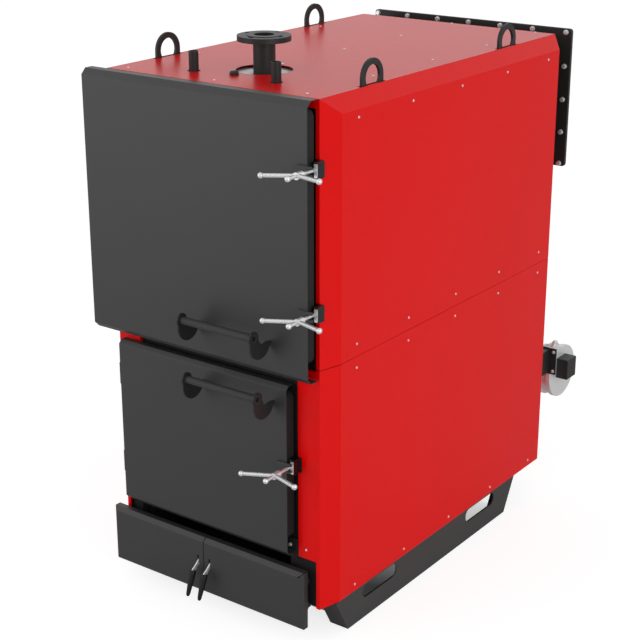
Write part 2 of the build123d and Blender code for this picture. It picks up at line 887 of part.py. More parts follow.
def latch(label, x, height):
    """A bolt with its cross pin and ball end, and the two-armed nut that clamps the door."""
    pin_y = front_y - latch_pin_reach
    ball_y = front_y - latch_tip_reach + latch_ball_radius
    with BuildPart() as bolt:
        with BuildSketch(Plane.XY.offset(height - latch_pin_length / 2)):
            with Locations((x, pin_y)):
                Circle(latch_pin_radius)
        extrude(amount=latch_pin_length)
        with BuildSketch(Plane.XZ.offset(-pin_y)):
            with Locations((x, height)):
                Circle(latch_bolt_radius)
        extrude(amount=pin_y - ball_y)
        with Locations((x, ball_y, height)):
            Sphere(latch_ball_radius)
    keep(bolt, f"{label}_bolt")

    hub_y = front_y - latch_nut_reach
    with BuildPart() as nut:
        with BuildSketch(Plane.XZ.offset(-(hub_y + latch_nut_length / 2))):
            with Locations((x, height)):
                Circle(latch_nut_radius)
        extrude(amount=latch_nut_length)
        for side in (-1, 1):
            root = Vector(x, hub_y - latch_arm_root, height)
            tip = root + Vector(
                side * latch_arm_span,
                -latch_arm_lean,
                side * latch_arm_drop,
            )
            with BuildSketch(Plane(origin=root, z_dir=tip - root)):
                Circle(latch_arm_radius)
            extrude(amount=(tip - root).length)
            with Locations(tip):
                Sphere(latch_ball_radius)
        with BuildSketch(Plane.XZ.offset(-(hub_y + latch_nut_length))):
            with Locations((x, height)):
                Circle(latch_bolt_radius + play)
        extrude(amount=2 * latch_nut_length, mode=Mode.SUBTRACT)
    keep(nut, f"{label}_nut")


upper_left = door_x - upper_cover_width / 2
upper_right = door_x + upper_cover_width / 2
lower_left = door_x - lower_cover_width / 2
lower_right = door_x + lower_cover_width / 2
upper_hinge = (upper_left + upper_hinge_in, front_y - upper_hinge_reach)
lower_hinge = (lower_left - lower_hinge_out, front_y - lower_hinge_reach)
upper_hinge_heights = (
    upper_cover_bottom + upper_hinge_up,
    upper_cover_top - upper_hinge_down,
)
lower_hinge_heights = (
    lower_cover_bottom + lower_hinge_up,
    lower_cover_top - lower_hinge_down,
)
upper_latch_x = upper_right + latch_out
lower_latch_x = lower_right + latch_out
upper_latch_heights = (
    upper_cover_top - upper_latch_down,
    upper_cover_bottom + upper_latch_up,
)
lower_latch_height = (lower_cover_bottom + lower_cover_top) / 2 + lower_latch_up

door_cover("upper_door_cover", upper_cover_width, upper_cover_bottom, upper_cover_top,
           upper_face_reach, upper_bevel, upper_latch_x, upper_latch_heights, True)
door_cover("lower_door_cover", lower_cover_width, lower_cover_bottom, lower_cover_top,
           lower_face_reach, lower_bevel, lower_latch_x, (lower_latch_height,), False)
door_core("upper_door_core", upper_hinge[0] + hinge_eye_radius + core_hinge_side,
          upper_right - core_edge, upper_core_bottom, upper_core_top,
          front_y - upper_face_reach + sheet, front_y - upper_core_back,
          upper_hinge, upper_hinge_heights,
          (upper_way_width, upper_way_bottom, upper_way_top))
door_core("lower_door_core", lower_hinge[0] + hinge_eye_radius + core_hinge_side,
          lower_right - core_edge, lower_core_bottom, lower_core_top,
          front_y - lower_face_reach + sheet, front_y,
          lower_hinge, lower_hinge_heights,
          (lower_way_width, lower_way_bottom, lower_way_top))
hinge_halves("upper_door_hinges", upper_hinge, upper_hinge_heights,
             mid_x - panel_half - hinge_foot_inset, front_y)
hinge_halves("lower_door_hinges", lower_hinge, lower_hinge_heights,
             lower_hinge[0] + hinge_pin_radius, front_y + body_front)
handle("upper_door_handle", upper_face_reach, upper_cover_bottom + upper_handle_up)
handle("lower_door_handle", lower_face_reach, lower_cover_top - lower_handle_down)
latch("upper_latch_top", upper_latch_x, upper_latch_heights[0])
latch("upper_latch_bottom", upper_latch_x, upper_latch_heights[1])
latch("lower_latch", lower_latch_x, lower_latch_height)

# Latch brackets on the boiler's front: a round-cornered hood over the cross pin, open
# towards the door, on a foot.
jaw = latch_pin_length / 2 + slip
bracket_width = bracket_left + bracket_right
with BuildPart() as brackets:
    for x, height, foot_left, foot_right in (
        (upper_latch_x, upper_latch_heights[0], mid_x + panel_half,
         upper_latch_x + bracket_right),
        (upper_latch_x, upper_latch_heights[1], mid_x + panel_half,
         upper_latch_x + bracket_right),
        (lower_latch_x, lower_latch_height, front_opening_right,
         front_opening_right + bracket_right),
    ):
        with BuildSketch(Plane.YZ.offset(x - bracket_left)) as hood_outline:
            with Locations((front_y - bracket_reach / 2, height)):
                Rectangle(bracket_reach, bracket_height)
            fillet(hood_outline.vertices().group_by(Axis.Y)[0], radius=bracket_corner)
        extrude(amount=bracket_width)
        with BuildSketch(Plane.YZ.offset(x - bracket_left)):
            with Locations((front_y - bracket_reach / 2, height)):
                Rectangle(bracket_reach, 2 * jaw)
        extrude(amount=bracket_width - bracket_thick, mode=Mode.SUBTRACT)
        with BuildSketch(Plane.XZ.offset(-front_y)):
            with Locations(((foot_left + foot_right) / 2, height)):
                Rectangle(foot_right - foot_left, bracket_height)
        extrude(amount=bracket_thick)
keep(brackets, "latch_brackets")

# Ash leaves: two shallow pans hinged at their outer sides, each with a slot and a lever.
ash_face_y = front_y - ash_face_reach
ash_rim_y = ash_face_y + ash_bevel
ash_pin_y = front_y - ash_hinge_reach
ash_mid = (ash_bottom + ash_top) / 2
ash_tall = ash_top - ash_bottom
ash_slot_bottom = ash_bottom + ash_slot_up
ash_hinge_heights = (ash_bottom + ash_hinge_up, ash_top - ash_hinge_down)
lever_y = front_y - lever_reach
lever_height = ash_slot_bottom + lever_up
for side, hand in ((-1, "left"), (1, "right")):
    outer = door_x + side * ash_width / 2
    inner = door_x + side * ash_split / 2
    pin_x = outer - side * ash_hinge_in
    lever_x = door_x + side * ash_slot_out
    middle_x = (outer + inner) / 2
    leaf_width = abs(outer - inner)
    with BuildPart() as leaf:
        with BuildSketch(Plane.XZ.offset(-ash_rim_y)):
            with Locations((middle_x, ash_mid)):
                Rectangle(leaf_width, ash_tall)
        with BuildSketch(Plane.XZ.offset(-ash_face_y)):
            with Locations((middle_x - side * ash_bevel / 2, ash_mid)):
                Rectangle(leaf_width - ash_bevel, ash_tall - 2 * ash_bevel)
        loft()
        with BuildSketch(Plane.XZ.offset(-ash_rim_y)):
            with Locations((middle_x, ash_mid)):
                Rectangle(leaf_width, ash_tall)
        extrude(amount=-ash_return)
        offset(amount=-sheet, openings=leaf.faces().sort_by(Axis.Y)[-1])
        with BuildSketch(Plane.XZ.offset(-(ash_face_y + through / 2))):
            with Locations((lever_x, ash_slot_bottom + ash_slot_height / 2)):
                Rectangle(ash_slot_width, ash_slot_height)
            with Locations(
                (outer - side * ash_bevel, ash_top - ash_bevel),
                (outer - side * ash_bevel, ash_bottom + ash_bevel),
            ):
                Circle(ash_relief_radius)
        extrude(amount=through, mode=Mode.SUBTRACT)
        with BuildSketch(Plane.XZ.offset(-(ash_rim_y + ash_return))):
            for corner in (-1, 1):
                with Locations((
                    outer - side * ash_bevel / 2,
                    ash_mid + corner * (ash_tall - ash_bevel) / 2,
                )):
                    Rectangle(
                        2**0.5 * ash_bevel,
                        ash_relief_slit,
                        rotation=side * corner * ash_mitre,
                    )
        extrude(amount=ash_return + ash_bevel, mode=Mode.SUBTRACT)
        for height in ash_hinge_heights:
            with BuildSketch(Plane.XY.offset(height)):
                with Locations((pin_x, ash_pin_y)):
                    Circle(ash_eye_radius)
                with Locations(((pin_x + outer) / 2, ash_pin_y - ash_eye_radius / 2)):
                    Rectangle(ash_hinge_in, ash_eye_radius)
                with Locations((pin_x, ash_pin_y)):
                    Circle(ash_pin_radius + play, mode=Mode.SUBTRACT)
            extrude(amount=ash_eye_height)
        cheek_back = lever_y + lever_cheek_radius
        for cheek in (-1, 1):
            cheek_x = lever_x + cheek * (lever_thick / 2 + slip + lever_cheek / 2)
            with BuildSketch(Plane.YZ.offset(cheek_x - lever_cheek / 2)):
                with Locations(((ash_face_y + sheet + cheek_back) / 2, lever_height)):
                    Rectangle(cheek_back - ash_face_y - sheet, 2 * lever_cheek_radius)
            extrude(amount=lever_cheek)
        with BuildSketch(Plane.YZ.offset(lever_x - lever_thick / 2 - slip)):
            with Locations((lever_y, lever_height)):
                Circle(lever_pin_radius)
        extrude(amount=lever_thick + 2 * slip)
    keep(leaf, f"ash_leaf_{hand}")

    # Lever: a flat steel blade through the slot, ending in a tapered grip with a round tip.
    root = Vector(lever_x, lever_y, lever_height)
    neck_point = Vector(lever_x, front_y - lever_neck_reach, lever_height - lever_neck_drop)
    tip_point = Vector(lever_x, front_y - lever_tip_reach, lever_height - lever_tip_drop)
    along = (neck_point - root).normalized()
    root_half_y = -along.Z * lever_width / 2
    root_half_z = along.Y * lever_width / 2
    neck_half_y = -along.Z * lever_neck_width / 2
    neck_half_z = along.Y * lever_neck_width / 2
    with BuildPart() as lever:
        with BuildSketch(Plane.YZ.offset(lever_x - lever_thick / 2)):
            with BuildLine():
                Polyline(
                    (root.Y + root_half_y, root.Z + root_half_z),
                    (neck_point.Y + neck_half_y, neck_point.Z + neck_half_z),
                    (neck_point.Y - neck_half_y, neck_point.Z - neck_half_z),
                    (root.Y - root_half_y, root.Z - root_half_z),
                    close=True,
                )
            make_face()
            with Locations((root.Y, root.Z)):
                Circle(lever_eye_radius)
                Circle(lever_pin_radius + play, mode=Mode.SUBTRACT)
        extrude(amount=lever_thick)
        with BuildSketch(Plane(origin=neck_point, z_dir=tip_point - neck_point)):
            Circle(lever_grip_radius)
        with BuildSketch(Plane(origin=tip_point, z_dir=tip_point - neck_point)):
            Circle(lever_tip_radius)
        loft()
        with Locations(tip_point):
            Sphere(lever_tip_radius)
    keep(lever, f"ash_lever_{hand}")

# Fixed hinge arms of the ash leaves: the left ones on the casing's edge, the right ones
# straight back to the front plate.
left_pin_x = door_x - ash_width / 2 + ash_hinge_in
right_pin_x = door_x + ash_width / 2 - ash_hinge_in
left_foot_x = mid_x - panel_half - hinge_foot_inset
with BuildPart() as ash_arms:
    for height in ash_hinge_heights:
        with BuildSketch(Plane.XY.offset(height - slip - ash_eye_height)):
            with Locations((left_pin_x, ash_pin_y), (right_pin_x, ash_pin_y)):
                Circle(ash_eye_radius)
            with Locations(((left_pin_x + left_foot_x) / 2, front_y - ash_arm_strap / 2)):
                Rectangle(left_foot_x - left_pin_x, ash_arm_strap)
            with Locations((left_pin_x + ash_eye_radius / 2, (ash_pin_y + front_y) / 2)):
                Rectangle(ash_eye_radius, front_y - ash_pin_y)
            with Locations((
                right_pin_x - ash_arm_width / 2,
                (ash_pin_y + front_y + body_front) / 2,
            )):
                Rectangle(ash_arm_width, front_y + body_front - ash_pin_y)
        extrude(amount=ash_eye_height)
        with BuildSketch(Plane.XY.offset(height - slip)):
            with Locations((left_pin_x, ash_pin_y), (right_pin_x, ash_pin_y)):
                Circle(ash_pin_radius)
        extrude(amount=ash_eye_height + slip)
keep(ash_arms, "ash_leaf_hinges")
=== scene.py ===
import math

import bpy
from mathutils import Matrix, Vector


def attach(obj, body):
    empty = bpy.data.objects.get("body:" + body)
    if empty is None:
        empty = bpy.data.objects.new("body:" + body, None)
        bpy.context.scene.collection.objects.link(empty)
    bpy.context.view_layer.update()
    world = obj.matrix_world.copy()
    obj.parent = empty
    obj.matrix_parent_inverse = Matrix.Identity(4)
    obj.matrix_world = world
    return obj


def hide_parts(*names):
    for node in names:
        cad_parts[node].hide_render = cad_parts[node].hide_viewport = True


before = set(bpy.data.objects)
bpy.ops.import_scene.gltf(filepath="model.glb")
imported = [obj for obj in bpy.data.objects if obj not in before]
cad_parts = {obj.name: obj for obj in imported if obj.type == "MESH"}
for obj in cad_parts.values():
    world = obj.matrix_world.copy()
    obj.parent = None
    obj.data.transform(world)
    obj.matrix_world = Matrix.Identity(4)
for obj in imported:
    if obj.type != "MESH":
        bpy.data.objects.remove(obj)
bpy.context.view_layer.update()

# The camera stands right of the boiler's front and looks down on it a little, from
# about six metres, with a moderate tele lens.
camera_data = bpy.data.cameras.new("camera")
camera_data.sensor_width = 36.0
camera_data.lens = 83.70
camera = bpy.data.objects.new("camera", camera_data)
bpy.context.scene.collection.objects.link(camera)
camera_place = Vector((3.0966, -4.5152, 2.8653))
camera_aim = Vector((-0.0606, -0.1870, 0.9189))
camera.location = camera_place
camera.rotation_euler = (camera_aim - camera_place).to_track_quat("-Z", "Y").to_euler()
bpy.context.scene.camera = camera
bpy.context.scene.view_settings.view_transform = "Standard"


def add_node(tree, kind, inputs=None, **settings):
    """Add a shader node, give it its settings, and set or link its inputs."""
    node = tree.nodes.new(kind)
    for name, value in settings.items():
        setattr(node, name, value)
    for name, value in (inputs or {}).items():
        if isinstance(value, bpy.types.NodeSocket):
            tree.links.new(value, node.inputs[name])
        else:
            node.inputs[name].default_value = value
    return node


# A white room: its walls give more light than its ceiling. Gloss and the camera see it
# plain white.
WHITE = (1.0, 1.0, 1.0, 1.0)
WALL_LIGHT, CEILING_LIGHT, SEEN_LIGHT = 1.30, 0.20, 1.0
room = bpy.data.worlds.new("white_room")
room.use_nodes = True
room.node_tree.nodes.clear()
look = add_node(room.node_tree, "ShaderNodeTexCoord").outputs["Generated"]
rise = add_node(room.node_tree, "ShaderNodeSeparateXYZ", {"Vector": look}).outputs["Z"]
room_light = add_node(room.node_tree, "ShaderNodeMapRange",
                      {"Value": rise, "To Min": WALL_LIGHT, "To Max": CEILING_LIGHT})
ray = add_node(room.node_tree, "ShaderNodeLightPath")
seen = add_node(room.node_tree, "ShaderNodeMath", operation="MAXIMUM",
                inputs={0: ray.outputs["Is Camera Ray"], 1: ray.outputs["Is Glossy Ray"]})
shown = add_node(room.node_tree, "ShaderNodeMath", operation="MAXIMUM",
                 inputs={0: seen.outputs[0], 1: ray.outputs["Is Transmission Ray"]})
walls = add_node(room.node_tree, "ShaderNodeBackground",
                 {"Color": WHITE, "Strength": room_light.outputs["Result"]})
backdrop = add_node(room.node_tree, "ShaderNodeBackground",
                    {"Color": WHITE, "Strength": SEEN_LIGHT})
blend = add_node(room.node_tree, "ShaderNodeMixShader",
                 {0: shown.outputs[0], 1: walls.outputs[0], 2: backdrop.outputs[0]})
add_node(room.node_tree, "ShaderNodeOutputWorld", {"Surface": blend.outputs[0]})
bpy.context.scene.world = room

# Two large soft lamps, aimed at the boiler's middle: one lights the front, and the other
# the right side.
LAMP_AIM = Vector((0, 0, 1))
LAMP_SIDE = 4.0
for name, place, watts in (("front_lamp", (-3.5, -5.5, 2.2), 75.0),
                           ("side_lamp", (6.0, -2.5, 2.0), 106.0)):
    bpy.ops.object.light_add(type="AREA", location=place)
    lamp = bpy.context.object
    lamp.name = name
    lamp.data.shape = "SQUARE"
    lamp.data.size = LAMP_SIDE
    lamp.data.energy = watts
    lamp.rotation_euler = (LAMP_AIM - lamp.location).to_track_quat("-Z", "Y").to_euler()

# Plain white floor. To the camera it glows a little, so that it meets the white backdrop
# and still keeps the boiler's soft shadow, with little of the red cast on it.
FLOOR_WHITE = (0.80, 0.80, 0.80, 1.0)
SEEN_FLOOR_WHITE = (0.45, 0.45, 0.45, 1.0)
FLOOR_GLOW = 0.77
bpy.ops.mesh.primitive_plane_add(size=120.0, location=(0, 0, -0.0005))
floor = bpy.context.object
floor.name = "floor"
floor_paint = bpy.data.materials.new("floor_paint")
floor_paint.use_nodes = True
floor_paint.node_tree.nodes.clear()
floor_ray = add_node(floor_paint.node_tree, "ShaderNodeLightPath")
floor_tint = add_node(floor_paint.node_tree, "ShaderNodeMix", data_type="RGBA",
                      inputs={0: floor_ray.outputs["Is Camera Ray"],
                              6: FLOOR_WHITE, 7: SEEN_FLOOR_WHITE})
floor_matt = add_node(floor_paint.node_tree, "ShaderNodeBsdfDiffuse",
                      {"Color": floor_tint.outputs[2]})
floor_lift = add_node(floor_paint.node_tree, "ShaderNodeMath", operation="MULTIPLY",
                      inputs={0: floor_ray.outputs["Is Camera Ray"], 1: FLOOR_GLOW})
floor_glow = add_node(floor_paint.node_tree, "ShaderNodeEmission",
                      {"Color": WHITE, "Strength": floor_lift.outputs[0]})
floor_skin = add_node(floor_paint.node_tree, "ShaderNodeAddShader",
                      {0: floor_matt.outputs[0], 1: floor_glow.outputs[0]})
add_node(floor_paint.node_tree, "ShaderNodeOutputMaterial", {"Surface": floor_skin.outputs[0]})
floor.data.materials.append(floor_paint)

# The floor between the skids is a patch with a painted shadow: its glow is weak, standing for
# the room's light that the boiler keeps off it, and through the skids' windows it is seen dark
# in front and lighter at the rear.
SHADE_FRONT, SHADE_REAR = -0.30, 0.55
GLOW_FRONT, GLOW_REAR = 0.005, 0.60
bpy.ops.mesh.primitive_plane_add(size=1.0, location=(-0.029, -0.105, 0.0002))
shade_patch = bpy.context.object
shade_patch.name = "floor_under_boiler"
bpy.ops.object.mode_set(mode="EDIT")
bpy.ops.transform.resize(value=(0.80, 1.10, 1.0))
bpy.ops.object.mode_set(mode="OBJECT")
shade_paint = bpy.data.materials.new("floor_paint_in_shade")
shade_paint.use_nodes = True
shade_paint.node_tree.nodes.clear()
shade_place = add_node(shade_paint.node_tree, "ShaderNodeTexCoord").outputs["Object"]
shade_depth = add_node(shade_paint.node_tree, "ShaderNodeSeparateXYZ", {"Vector": shade_place})
shade_lift = add_node(shade_paint.node_tree, "ShaderNodeMapRange",
                      {"Value": shade_depth.outputs["Y"], "From Min": SHADE_FRONT,
                       "From Max": SHADE_REAR, "To Min": GLOW_FRONT, "To Max": GLOW_REAR})
shade_ray = add_node(shade_paint.node_tree, "ShaderNodeLightPath").outputs["Is Camera Ray"]
shade_power = add_node(shade_paint.node_tree, "ShaderNodeMath", operation="MULTIPLY",
                       inputs={0: shade_ray, 1: shade_lift.outputs["Result"]})
shade_glow = add_node(shade_paint.node_tree, "ShaderNodeEmission",
                      {"Color": WHITE, "Strength": shade_power.outputs[0]})
shade_matt = add_node(shade_paint.node_tree, "ShaderNodeBsdfDiffuse", {"Color": FLOOR_WHITE})
shade_skin = add_node(shade_paint.node_tree, "ShaderNodeAddShader",
                      {0: shade_matt.outputs[0], 1: shade_glow.outputs[0]})
add_node(shade_paint.node_tree, "ShaderNodeOutputMaterial", {"Surface": shade_skin.outputs[0]})
shade_patch.data.materials.append(shade_paint)


# Skids: two channels pressed from 5 mm steel plate and welded under the boiler, with
# sloped ends and rounded windows for lifting straps. Their baked powder coat is dark
# grey, even and satin, with a fine orange peel.
def colour(code):
    """The linear colour of an sRGB hex value."""
    parts = [int(code[i:i + 2], 16) / 255 for i in (1, 3, 5)]
    return (*[p / 12.92 if p <= 0.04045 else ((p + 0.055) / 1.055) ** 2.4 for p in parts], 1.0)


def coat(name, light, dark, roughness, grain_mm, relief_mm, specular=0.5, fold_mm=1.5,
         metal=0.0, drift=0.04):
    """A finish that drifts between two shades in clouds of 250 mm. Its grain changes the
    roughness by the drift and has a fine relief, and its sharp edges look rounded."""
    skin = bpy.data.materials.new(name)
    skin.use_nodes = True
    tree = skin.node_tree
    tree.nodes.clear()
    place = add_node(tree, "ShaderNodeTexCoord").outputs["Object"]
    cloud = add_node(tree, "ShaderNodeTexNoise",
                     {"Vector": place, "Scale": 1000 / 250, "Detail": 3.0})
    shade = add_node(tree, "ShaderNodeMix", data_type="RGBA",
                     inputs={0: cloud.outputs["Fac"], 6: colour(dark), 7: colour(light)})
    grain = add_node(tree, "ShaderNodeTexNoise",
                     {"Vector": place, "Scale": 1000 / grain_mm, "Detail": 2.0})
    sheen = add_node(tree, "ShaderNodeMapRange",
                     {"Value": grain.outputs["Fac"], "From Min": 0.3, "From Max": 0.7,
                      "To Min": roughness - drift, "To Max": roughness + drift})
    fold = add_node(tree, "ShaderNodeBevel", {"Radius": fold_mm / 1000}, samples=4)
    relief = add_node(tree, "ShaderNodeBump",
                      {"Height": grain.outputs["Fac"], "Distance": relief_mm / 1000,
                       "Strength": 0.5, "Normal": fold.outputs["Normal"]})
    face = add_node(tree, "ShaderNodeBsdfPrincipled",
                    {"Base Color": shade.outputs[2], "Roughness": sheen.outputs["Result"],
                     "Metallic": metal, "Specular IOR Level": specular,
                     "Normal": relief.outputs["Normal"]})
    add_node(tree, "ShaderNodeOutputMaterial", {"Surface": face.outputs[0]})
    return skin


def dress(material, *names):
    """Give CAD nodes their finish."""
    for name in names:
        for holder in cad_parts[name].material_slots:
            holder.material = material


skid_coat = coat("dark_grey_powder_coat_skids", "#424242", "#3c3c3c", roughness=0.55,
                 grain_mm=2.5, relief_mm=0.10, specular=0.2)
dress(skid_coat, "skid_left", "skid_right")

# Boiler body: water walls, decks and front plate of 8 mm boiler steel, welded together.
# The matt black heat-proof paint is slightly mottled by the mill scale under it.
heat_paint = coat("matt_heat_proof_paint", "#1e1d1c", "#121212", roughness=0.75,
                  grain_mm=6.0, relief_mm=0.15, specular=0.25)
dress(heat_paint, "base_plate", "left_water_wall", "right_water_wall", "rear_water_wall",
      "crown", "middle_deck", "front_plate")

# Grate: one slotted plate of grey cast iron, laid over the ash pit. Its rough skin comes
# from the moulding sand, whose grain is drawn at 3 mm because it is too fine to show.
grate_iron = coat("sand_cast_grey_iron", "#4a4642", "#33302d", roughness=0.7,
                  grain_mm=3.0, relief_mm=0.4, specular=0.4)
dress(grate_iron, "fire_grate")

# Pipes, sockets and lifting lugs: steel pipe and round bar, cut, bent and welded on. The
# thin black satin paint is smooth and a little shiny.
black_satin = coat("black_satin_paint", "#252525", "#1d1d1d", roughness=0.45,
                   grain_mm=3.0, relief_mm=0.08, specular=0.3)
dress(black_satin, "supply_pipe", "return_pipe", "safety_sockets", "drain_socket",
      "sensor_plug", "lifting_lugs")


# Insulation of the crown: a glass wool mat faced with aluminium foil, cut out round the
# supply pipe and laid on the crown. It is seen through the hole of the top sheet.
def spot(x, y, z):
    """A place given in mm from the foot of the casing's front, in the middle."""
    return Vector(((x - 29.0) / 1000, (y - 848.5) / 1000, z / 1000))


def drawn(name, corners):
    """A line of edges through corners in mm, left selected in edit mode."""
    bpy.ops.object.select_all(action="DESELECT")
    bpy.ops.mesh.primitive_plane_add(size=0.001)
    shape = bpy.context.object
    shape.name = name
    bpy.ops.object.mode_set(mode="EDIT")
    bpy.ops.mesh.select_mode(type="VERT")
    bpy.ops.mesh.select_all(action="SELECT")
    bpy.ops.mesh.merge(type="CENTER")
    bpy.ops.transform.translate(value=tuple(part / 1000 for part in corners[0]))
    for corner, following in zip(corners, corners[1:]):
        step = tuple((b - a) / 1000 for a, b in zip(corner, following))
        bpy.ops.mesh.extrude_vertices_move(TRANSFORM_OT_translate={"value": step})
    bpy.ops.mesh.select_all(action="SELECT")
    return shape


def turned(name, profile, steps=20):
    """A shape turned about Z, from the (radius, height) points of its outline in mm."""
    shape = drawn(name, [(radius, 0, height) for radius, height in profile])
    bpy.ops.mesh.spin(steps=steps, angle=math.tau, center=(0, 0, 0), axis=(0, 0, 1))
    bpy.ops.mesh.select_all(action="SELECT")
    bpy.ops.mesh.remove_doubles(threshold=0.000001)
    bpy.ops.mesh.normals_make_consistent(inside=False)
    bpy.ops.object.mode_set(mode="OBJECT")
    bpy.ops.object.shade_smooth_by_angle(angle=math.radians(35))
    return shape


def copies(shape, name, places, turn=(0.0, 0.0, 0.0)):
    """Copies of a finished shape at several places, turned alike and made one piece."""
    bpy.ops.object.select_all(action="DESELECT")
    for place in places:
        twin = shape.copy()
        twin.data = shape.data.copy()
        bpy.context.scene.collection.objects.link(twin)
        twin.location = place
        twin.rotation_euler = turn
        twin.select_set(True)
        bpy.context.view_layer.objects.active = twin
    bpy.ops.object.join()
    bpy.ops.object.transform_apply()
    bpy.context.object.name = name
    return bpy.context.object


def fit(piece, material, body):
    """Give a new piece its finish and its moving body."""
    piece.data.materials.clear()
    piece.data.materials.append(material)
    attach(piece, body)


# Aluminium foil on glass wool: light grey with a broken, crinkled gloss.
foil = coat("foil_faced_glass_wool", "#e6e8e9", "#dcdfe0", roughness=0.45,
            grain_mm=14.0, relief_mm=1.0, fold_mm=3.0, metal=0.2)
mat_shape = turned("wool_mat", [(40, 0), (150, 0), (150, 24), (144, 28), (48, 28), (40, 24),
                                (40, 0)], 48)
wool_mat = copies(mat_shape, "crown_insulation", [spot(4, 293, 1900.5)])
fit(wool_mat, foil, "boiler")
bpy.data.objects.remove(mat_shape)

# Casing: folded sheets of 2 mm steel, screwed on over the insulation. The gloss red
# powder coat is deep and even, with long shallow waves and a soft reflection that grows
# at a low angle.
red_coat = coat("gloss_red_powder_coat", "#dc0404", "#d90303", roughness=0.30,
                grain_mm=14.0, relief_mm=0.012, specular=0.16, drift=0.01)
dress(red_coat, "side_panel_left_upper", "side_panel_left_lower", "side_panel_right_upper",
      "side_panel_right_lower", "top_panel", "rear_panel")


# Front panel: two folded sheets beside the lower door, in the same red and screwed on. The
# left one has a tab behind the upper door, and the black front plate shows between them.
def plate(name, outline, thick_mm):
    """A flat plate from the corners of its outline in mm, lying on the ground plane."""
    shape = drawn(name, [(x, y, 0) for x, y in outline])
    bpy.ops.mesh.edge_face_add()
    bpy.ops.mesh.extrude_region_move(TRANSFORM_OT_translate={"value": (0, 0, thick_mm / 1000)})
    bpy.ops.mesh.select_all(action="SELECT")
    bpy.ops.mesh.normals_make_consistent(inside=False)
    bpy.ops.object.mode_set(mode="OBJECT")
    return shape


def joined(name, *shapes):
    """Several shapes made one."""
    bpy.ops.object.select_all(action="DESELECT")
    for shape in shapes:
        shape.select_set(True)
    bpy.context.view_layer.objects.active = shapes[0]
    bpy.ops.object.join()
    shapes[0].name = name
    return shapes[0]


# Turns that point a shape's top to the boiler's front and rear.
TO_FRONT, TO_REAR = (math.pi / 2, 0, 0), (-math.pi / 2, 0, 0)
SHEET_EDGE, SHEET_FOOT, SHEET_TOP, SHEET_DEPTH = 434.2, 321, 1028, 13.7
TAB_FOOT = 954
left_sheet = plate("left_sheet", [(-SHEET_EDGE, SHEET_FOOT), (-428.5, SHEET_FOOT),
                                  (-428.5, TAB_FOOT), (-350, TAB_FOOT),
                                  (-350, SHEET_TOP), (-SHEET_EDGE, SHEET_TOP)], SHEET_DEPTH)
right_sheet = plate("right_sheet", [(358.5, SHEET_FOOT), (SHEET_EDGE, SHEET_FOOT),
                                    (SHEET_EDGE, SHEET_TOP), (358.5, SHEET_TOP)], SHEET_DEPTH)
both_sheets = joined("both_sheets", left_sheet, right_sheet)
front_sheet = copies(both_sheets, "front_panel_sheet", [spot(0, SHEET_DEPTH, 0)], TO_FRONT)
fit(front_sheet, red_coat, "boiler")
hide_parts("front_panel")
bpy.data.objects.remove(both_sheets)

# Seams of the side panels: the folded edge of each lower panel, which the upper one laps
# over, shows as a red line in the narrow gap between them.
for side, hand in ((-1, "left"), (1, "right")):
    bpy.ops.mesh.primitive_cube_add(size=0.001)
    strip = bpy.context.object
    bpy.ops.object.mode_set(mode="EDIT")
    bpy.ops.mesh.select_all(action="SELECT")
    bpy.ops.transform.resize(value=(1.2, 1446.0, 24.0))
    bpy.ops.mesh.bevel(offset=0.0003, segments=1)
    bpy.ops.object.mode_set(mode="OBJECT")
    piece = copies(strip, f"side_seam_fold_{hand}", [spot(side * 469.8, 816, 1037)])
    fit(piece, red_coat, "boiler")
    bpy.data.objects.remove(strip)

# Sheet screws of the casing: pan heads of 9 mm with a cross recess, pressed from steel
# wire. The bright zinc plate is a light silver with faint clouds of 5 mm. Each row of
# heads is one piece.
zinc = coat("bright_zinc_plate", "#e2e3e4", "#d6d8d9", roughness=0.30,
            grain_mm=5.0, relief_mm=0.02, fold_mm=0.6, metal=0.65)
screw = turned("pan_head", [(0, -1.5), (2.4, -1.5), (2.4, 0), (4.5, 0), (4.6, 0.8),
                            (4.2, 1.8), (3.2, 2.5), (1.6, 2.8), (0, 2.9)], 16)
for turn in (0.0, math.pi / 2):
    bpy.ops.mesh.primitive_cube_add(size=1.0, location=(0, 0, 0.0028), rotation=(0, 0, turn),
                                    scale=(0.0050, 0.0012, 0.0030))
    blade = bpy.context.object
    recess = screw.modifiers.new("cross_recess", "BOOLEAN")
    recess.operation = "DIFFERENCE"
    recess.object = blade
    bpy.context.view_layer.objects.active = screw
    bpy.ops.object.modifier_apply(modifier=recess.name)
    bpy.data.objects.remove(blade)

# Turns that point a shape's top to the boiler's left and right.
TO_LEFT, TO_RIGHT = (0, -math.pi / 2, 0), (0, math.pi / 2, 0)
SIDE_FACE, REAR_FACE, TOP_FACE = 472.5, 1545, 1940
SIDE_SCREW_DEPTHS = (180, 501, 819, 1139, 1457)
REAR_SCREW_HEIGHTS = (190, 460, 730, 1000, 1080, 1340, 1600, 1850)
TOP_SCREW_DEPTHS = (45, 413, 784, 1160, 1534)
for side, hand, outwards in ((-1, "left", TO_LEFT), (1, "right", TO_RIGHT)):
    for level, heights in (("upper", (1855, 1083)), ("lower", (997, 165))):
        row = [spot(side * SIDE_FACE, y, z) for z in heights for y in SIDE_SCREW_DEPTHS]
        piece = copies(screw, f"side_screws_{hand}_{level}", row, outwards)
        fit(piece, zinc, "boiler")
    back_row = [spot(side * 455, REAR_FACE, z) for z in REAR_SCREW_HEIGHTS]
    piece = copies(screw, f"rear_screws_{hand}", back_row, TO_REAR)
    fit(piece, zinc, "boiler")
top_row = [spot(x, y, TOP_FACE) for y in TOP_SCREW_DEPTHS for x in (-392, -10, 369)]
fit(copies(screw, "top_screws", top_row), zinc, "boiler")
fit(copies(screw, "front_screw", [spot(392, 0, 356)], TO_FRONT), zinc, "boiler")


